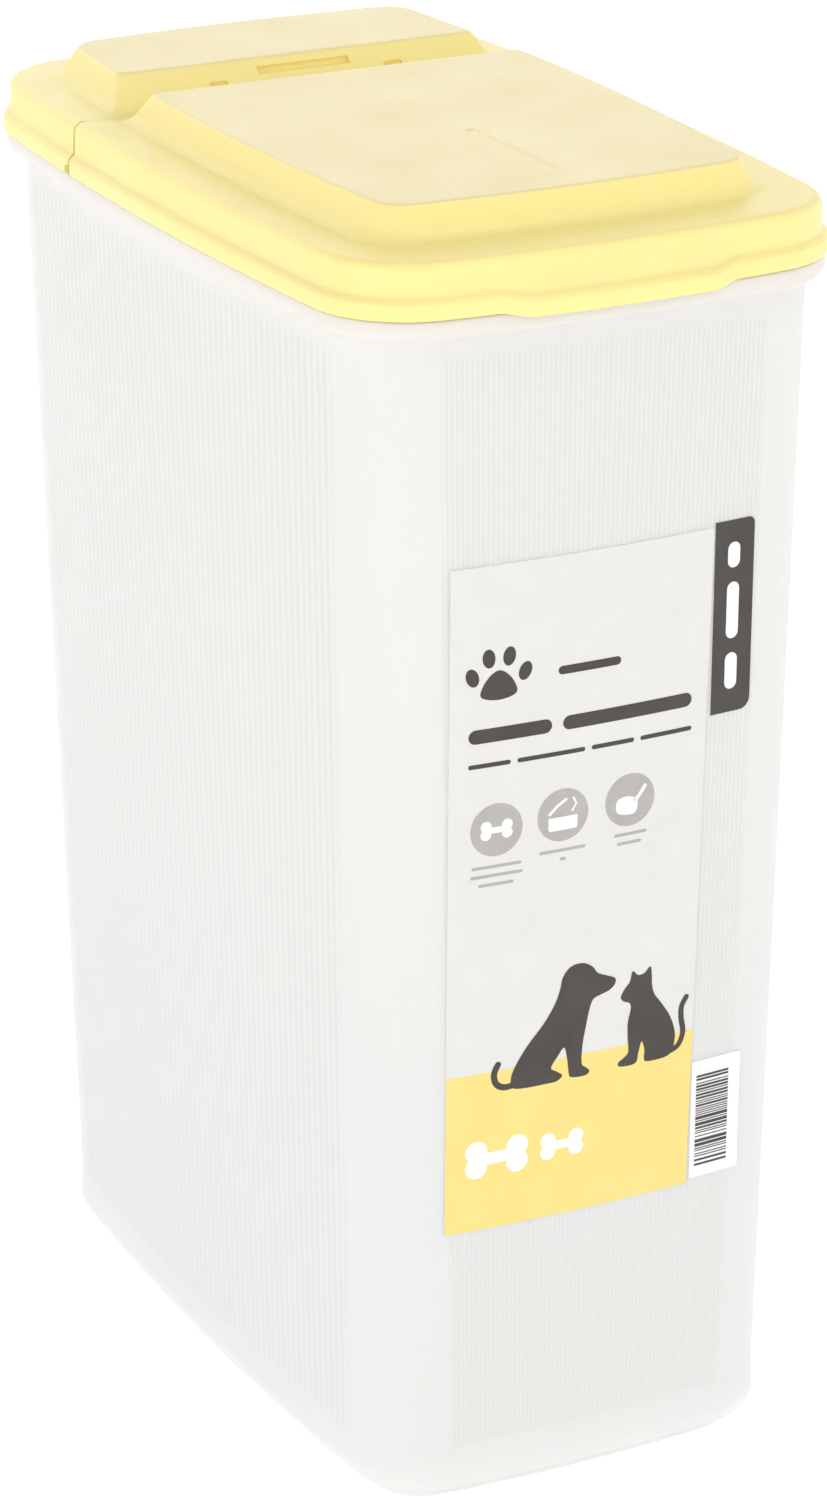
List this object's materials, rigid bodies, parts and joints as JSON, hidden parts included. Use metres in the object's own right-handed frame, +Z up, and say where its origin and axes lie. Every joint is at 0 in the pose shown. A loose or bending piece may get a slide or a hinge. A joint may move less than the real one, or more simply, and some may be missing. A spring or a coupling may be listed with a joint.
{
  "type": "pet food bin",
  "caption": "Tall narrow food storage bin: tapered translucent tub with a clip-on lid whose front section flips up on a living hinge.",
  "frame": {"origin": "on the ground, under the middle of the tub", "axes": "+Z up; the label side is the front and faces -Y; the lid's fixed rear section is at +Y; X is the narrow width, +X to the right when seen from the front"},
  "size_m": [0.097, 0.161, 0.2305],
  "materials": {
    "tub_plastic": "translucent natural polypropylene, fine ribs inside",
    "lid_plastic": "pale yellow polypropylene, satin",
    "label_film": "thin printed film, satin",
    "sticker_paper": "white coated paper sticker"
  },
  "bodies": {
    "tub": {"container_body": "tub_plastic", "product_label": "label_film", "barcode_sticker": "sticker_paper"},
    "lid_rear": {"lid_rear_section": "lid_plastic", "living_hinge": "lid_plastic"},
    "flap": {"lid_flap": "lid_plastic"}
  },
  "joints": [
    {"name": "lid_lift", "type": "slide", "parent": "tub", "child": "lid_rear", "axis": [0, 0, 1], "range_m": [0, 0.06]},
    {"name": "flap_hinge", "type": "hinge", "parent": "lid_rear", "child": "flap", "pos_m": [0, 0.0314, 0.2247], "axis": [-1, 0, 0], "range_deg": [0, 102], "deforming": ["living_hinge"]}
  ]
}
